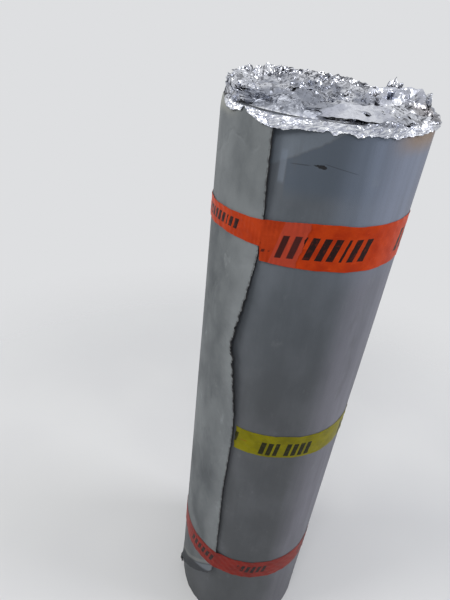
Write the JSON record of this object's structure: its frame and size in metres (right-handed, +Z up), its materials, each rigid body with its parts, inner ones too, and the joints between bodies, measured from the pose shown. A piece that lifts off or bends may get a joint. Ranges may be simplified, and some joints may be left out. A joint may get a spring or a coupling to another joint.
{
  "type": "roll of roofing felt",
  "caption": "Roll of bitumen roofing felt standing on its end, bound with tape, with crumpled foil film standing out of its upper end.",
  "frame": {"origin": "on the roll's axis, at the level of the end that it stands on", "axes": "+Z up along the roll's axis; the outer turn's free edge faces 118 degrees clockwise from +X, seen from above"},
  "size_m": [0.2596, 0.2596, 1.026],
  "materials": {
    "felt": "matte",
    "film": "gloss",
    "orange_tape": "satin",
    "yellow_tape": "satin"
  },
  "bodies": {
    "root": {"felt_roll": "felt", "film_edge": "film", "tape_upper": "orange_tape", "tape_middle": "yellow_tape", "tape_lower": "orange_tape"}
  },
  "joints": []
}
